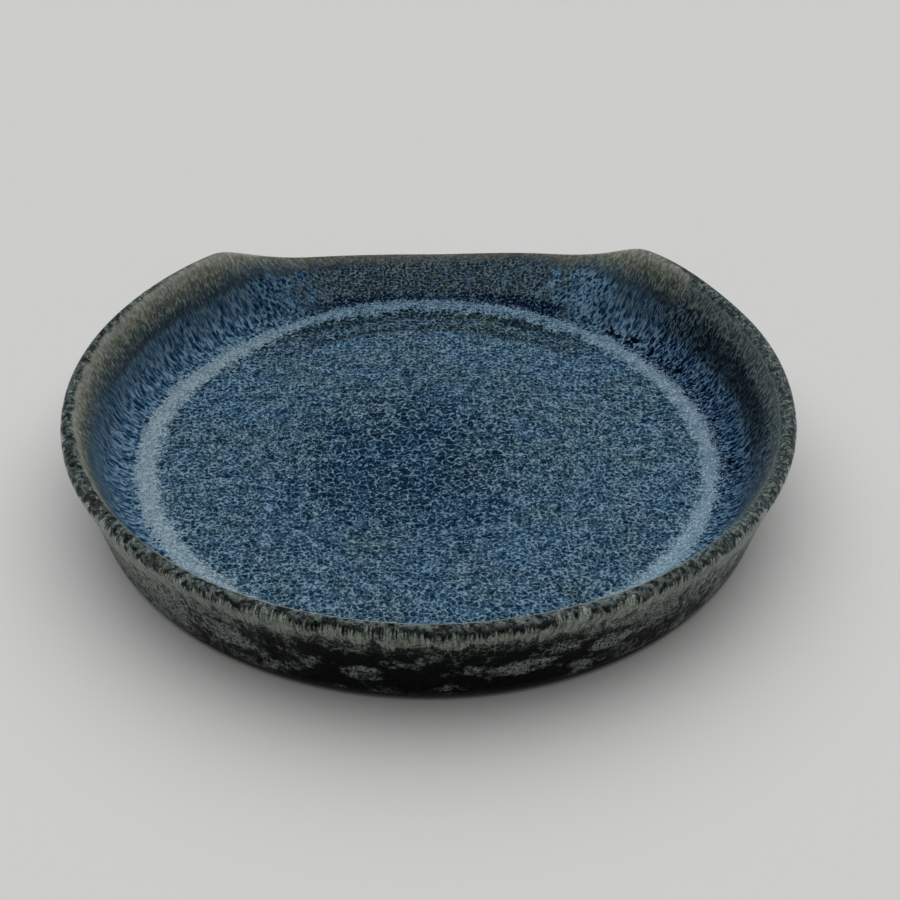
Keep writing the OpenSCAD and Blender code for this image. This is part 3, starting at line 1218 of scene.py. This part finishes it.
# %% Studio floor
PAPER_HALF = 3.0
PAPER_GREY = (203, 203, 202)
PAPER_ROUGH = 0.9
corners = [(x * PAPER_HALF, y * PAPER_HALF, 0) for x, y in ((-1, -1), (1, -1), (1, 1), (-1, 1))]
paper_mesh = bpy.data.meshes.new("studio_floor")
paper_mesh.from_pydata(corners, [], [(0, 1, 2, 3)])
paper = placed("studio_floor", paper_mesh)
paper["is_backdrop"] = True
_, paper_shader = new_material(paper, "grey_paper", specular=0.0)
paper_shader.inputs["Base Color"].default_value = paint(*PAPER_GREY)
paper_shader.inputs["Roughness"].default_value = PAPER_ROUGH
print("paper of", 2 * PAPER_HALF, "m")

# %% [markdown]
# The light is one wide, soft window overhead and a little behind, and a faint white room. A sun lamp with a
# very wide disc gives the same soft shadow everywhere. It is hidden from mirror rays, as a window behind a
# thick diffuser would be, so the satin glaze shows its own colours.

# %% Light
ROOM_STRENGTH = 0.12
WINDOW_STRENGTH = 2.94
WINDOW_WIDTH = math.radians(100)
WINDOW_AT = Vector((0, 0.29, 1))
room = bpy.data.worlds.new("soft_room")
bpy.context.scene.world = room
room.use_nodes = True
room_shader = room.node_tree.nodes["Background"]
room_shader.inputs["Color"].default_value = (1, 1, 1, 1)
room_shader.inputs["Strength"].default_value = ROOM_STRENGTH
window_light = bpy.data.lights.new("soft_window", "SUN")
window_light.energy = WINDOW_STRENGTH
window_light.angle = WINDOW_WIDTH
window = placed("soft_window", window_light)
window.rotation_mode = "QUATERNION"
window.rotation_quaternion = WINDOW_AT.to_track_quat("Z", "Y")
window.visible_glossy = False
print("window from", [round(part, 2) for part in WINDOW_AT.normalized()])

# %% [markdown]
# The camera stands in front of the dish and looks down into it, with the saddle at the back. A long lens
# from about 40 cm keeps the near and far rim at almost the same scale.

# %% Camera
CAMERA_UP = math.radians(36)
CAMERA_ROUND = math.radians(-0.66)
CAMERA_ROLL = math.radians(0.36)
CAMERA_AWAY = 391.06
LOOKS_AT = Vector((4.09, 0, 6.97))
LENS = 80
SENSOR = 36
NEAREST = 0.01
to_camera = Vector((
    math.sin(CAMERA_ROUND) * math.cos(CAMERA_UP),
    -math.cos(CAMERA_ROUND) * math.cos(CAMERA_UP),
    math.sin(CAMERA_UP),
))
lens = bpy.data.cameras.new("photographer")
lens.lens = LENS
lens.sensor_width = SENSOR
lens.clip_start = NEAREST
camera = placed("photographer", lens)
aim = (-to_camera).to_track_quat("-Z", "Y").to_matrix().to_4x4()
stand = Matrix.Translation((LOOKS_AT + CAMERA_AWAY * to_camera) * MM)
camera.matrix_world = stand @ aim @ Matrix.Rotation(CAMERA_ROLL, 4, "Z")
bpy.context.scene.camera = camera
bpy.context.scene.view_settings.view_transform = "Standard"
print("camera at", [round(part, 3) for part in camera.matrix_world.translation], "m")

# %% [markdown]
# Last, each piece takes the place of its solid in the frame. A pot has no joints, so all of them ride on
# the one body. The two boxes show that the dressed pot keeps the size of the solids.

# %% Pieces join the frame
for made, node, slot in (
    (thrown_clay, "stoneware_body", "fired_clay"),
    (blue_liner, "liner_glaze", "blue_glaze"),
    (olive_rim, "rim_glaze", "olive_rim_glaze"),
    (dark_outside, "outer_glaze", "dark_outer_glaze"),
):
    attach(made, "root")
    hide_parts(node)

low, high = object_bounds()
for side, gap in (("low", low - cad_low), ("high", high - cad_high)):
    print("box off the frame by mm,", side, "corner", [round(1000 * s, 2) for s in gap])
